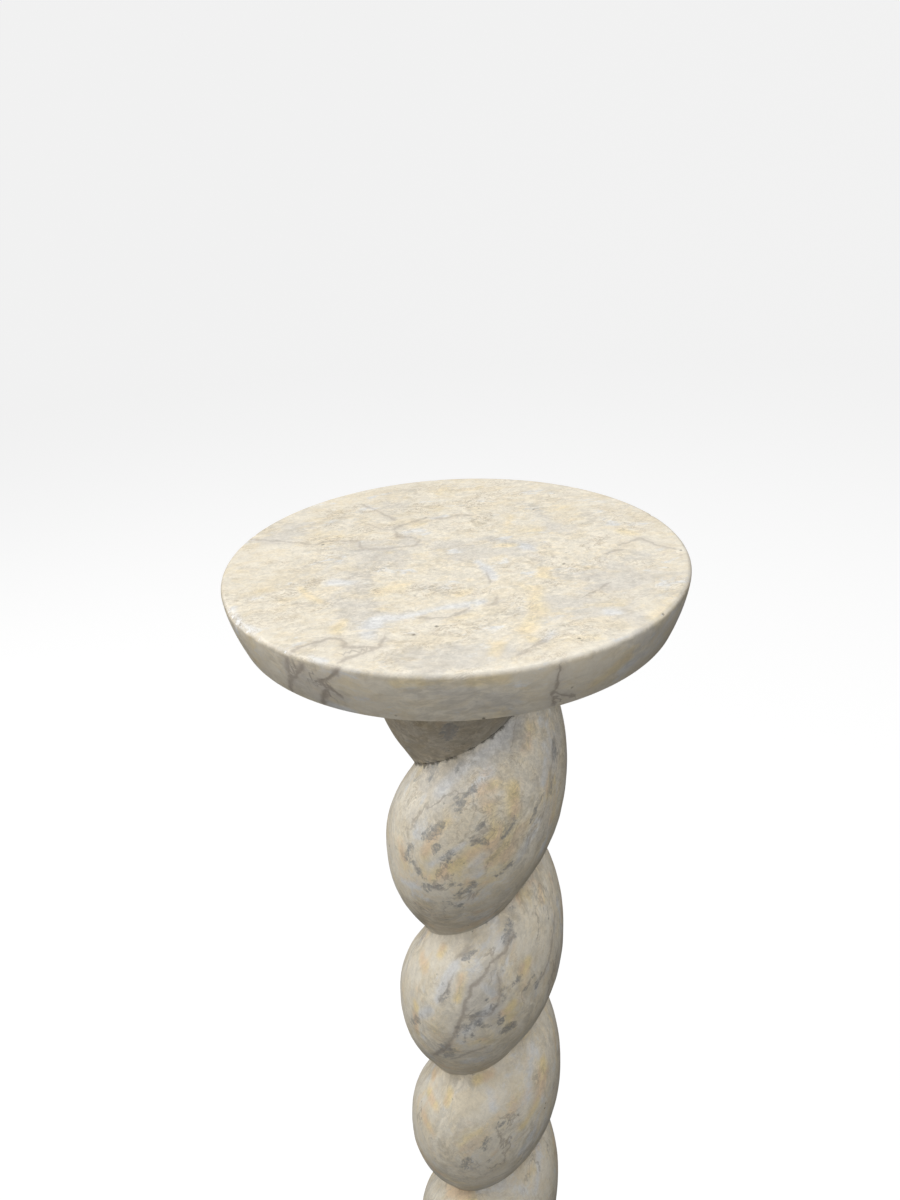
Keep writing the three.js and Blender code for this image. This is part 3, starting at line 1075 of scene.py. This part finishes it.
def make_floor(stage):
    """A pale floor that turns up into a backdrop all round."""
    turn_up = 2.0
    wall_height = 12.0
    curve_steps = 12
    sweep = bmesh.new()
    outline = [sweep.verts.new((0.0, 0.0, 0.0))]
    for step in range(curve_steps + 1):
        turn = math.pi / 2 * step / curve_steps
        place = (stage.floor_radius + turn_up * math.sin(turn), 0.0, turn_up * (1 - math.cos(turn)))
        outline.append(sweep.verts.new(place))
    outline.append(sweep.verts.new((stage.floor_radius + turn_up, 0.0, wall_height)))
    edges = [sweep.edges.new(pair) for pair in zip(outline, outline[1:])]
    bmesh.ops.spin(
        sweep, geom=outline + edges, cent=(0, 0, 0), axis=(0, 0, 1), angle=math.tau,
        steps=96, use_merge=True)
    bmesh.ops.remove_doubles(sweep, verts=sweep.verts, dist=0.1 * MM)
    bmesh.ops.recalc_face_normals(sweep, faces=sweep.faces)
    bmesh.ops.reverse_faces(sweep, faces=sweep.faces)
    mesh = bpy.data.meshes.new("Floor")
    sweep.to_mesh(mesh)
    sweep.free()
    mesh.shade_smooth()
    material = bpy.data.materials.new("pale_floor")
    material.use_nodes = True
    shader = material.node_tree.nodes["Principled BSDF"]
    shader.inputs['Base Color'].default_value = (0.16, 0.16, 0.16, 1.0)
    shader.inputs['Roughness'].default_value = 0.9
    shader.inputs['Emission Color'].default_value = (1.0, 1.0, 1.0, 1.0)
    shader.inputs['Emission Strength'].default_value = 0.87
    material.cycles.emission_sampling = 'NONE'
    mesh.materials.append(material)
    floor = bpy.data.objects.new("Floor", mesh)
    bpy.context.scene.collection.objects.link(floor)
    # The pale floor shows, but throws no light back up under the lobes
    floor.visible_diffuse = False
    floor.visible_glossy = False
    floor.visible_shadow = False


def make_lights(stage):
    """Four large soft boxes round the stand and a faint even light."""
    scene = bpy.context.scene
    aim = Vector((0.0, 0.0, TOP_HIGH.z - 0.1))
    distance = 2.4
    boxes = (
        ("Left_light", 165, 30, stage.left_power),
        ("Front_light", 255, 30, stage.front_power),
        ("Right_light", 0, 30, stage.right_power),
        ("Back_light", 75, 60, stage.back_power),
    )
    for name, azimuth, elevation, power in boxes:
        data = bpy.data.lights.new(name, 'AREA')
        data.shape = 'DISK'
        data.size = 2.1
        data.energy = power
        light = bpy.data.objects.new(name, data)
        turn, rise = math.radians(azimuth), math.radians(elevation)
        way = Vector((
            math.cos(turn) * math.cos(rise), math.sin(turn) * math.cos(rise), math.sin(rise)))
        light.location = aim + way * distance
        light.rotation_euler = (-way).to_track_quat('-Z', 'Y').to_euler()
        light.visible_camera = False
        scene.collection.objects.link(light)
    world = bpy.data.worlds.new("Studio")
    world.use_nodes = True
    background = world.node_tree.nodes["Background"]
    background.inputs['Color'].default_value = (1.0, 1.0, 1.0, 1.0)
    background.inputs['Strength'].default_value = stage.ambient
    scene.world = world


def make_camera(stage):
    """The camera stands before the stand and looks down on its top."""
    scene = bpy.context.scene
    data = bpy.data.cameras.new("Camera")
    data.sensor_width = 36.0
    data.lens = stage.lens
    data.clip_start = 0.01
    data.clip_end = 50.0
    camera = bpy.data.objects.new("Camera", data)
    aim = (
        Matrix.Rotation(-stage.camera_turn, 4, 'Z')
        @ Matrix.Rotation(math.pi / 2 - stage.camera_down, 4, 'X')
        @ Matrix.Rotation(stage.camera_roll, 4, 'Z'))
    place = Matrix.Translation((0.0, -stage.camera_back, TOP_HIGH.z + stage.camera_above))
    camera.matrix_world = place @ aim
    scene.collection.objects.link(camera)
    scene.camera = camera


class STAND_PT_sidebar(Panel):
    """Lists the pieces and their settings"""

    bl_idname = "STAND_PT_sidebar"
    bl_label = "Twisted stone stand"
    bl_space_type = 'VIEW_3D'
    bl_region_type = 'UI'
    bl_category = "Stand"

    def draw(self, context):
        settings = context.scene.stand
        for operator in PIECE_OPERATORS:
            self.layout.operator(operator.bl_idname)
        for name in ("slab", "shaft", "stone", "stage"):
            group = getattr(settings, name)
            box = self.layout.box()
            box.label(text=name.capitalize())
            for key in group.__annotations__:
                box.prop(group, key)


PIECE_OPERATORS = (
    STAND_OT_stage, STAND_OT_base_slab, STAND_OT_twisted_shaft, STAND_OT_top_slab)
CLASSES = (
    SlabSettings, ShaftSettings, StoneSettings, StageSettings, StandSettings,
    *PIECE_OPERATORS, STAND_PT_sidebar)


def register():
    for cls in CLASSES:
        bpy.utils.register_class(cls)
    bpy.types.Scene.stand = PointerProperty(type=StandSettings)


def unregister():
    del bpy.types.Scene.stand
    for cls in reversed(CLASSES):
        bpy.utils.unregister_class(cls)


def main():
    """Makes every piece and the stage."""
    register()
    bpy.ops.stand.stage()
    bpy.ops.stand.base_slab()
    bpy.ops.stand.twisted_shaft()
    bpy.ops.stand.top_slab()


if __name__ == "__main__":
    main()
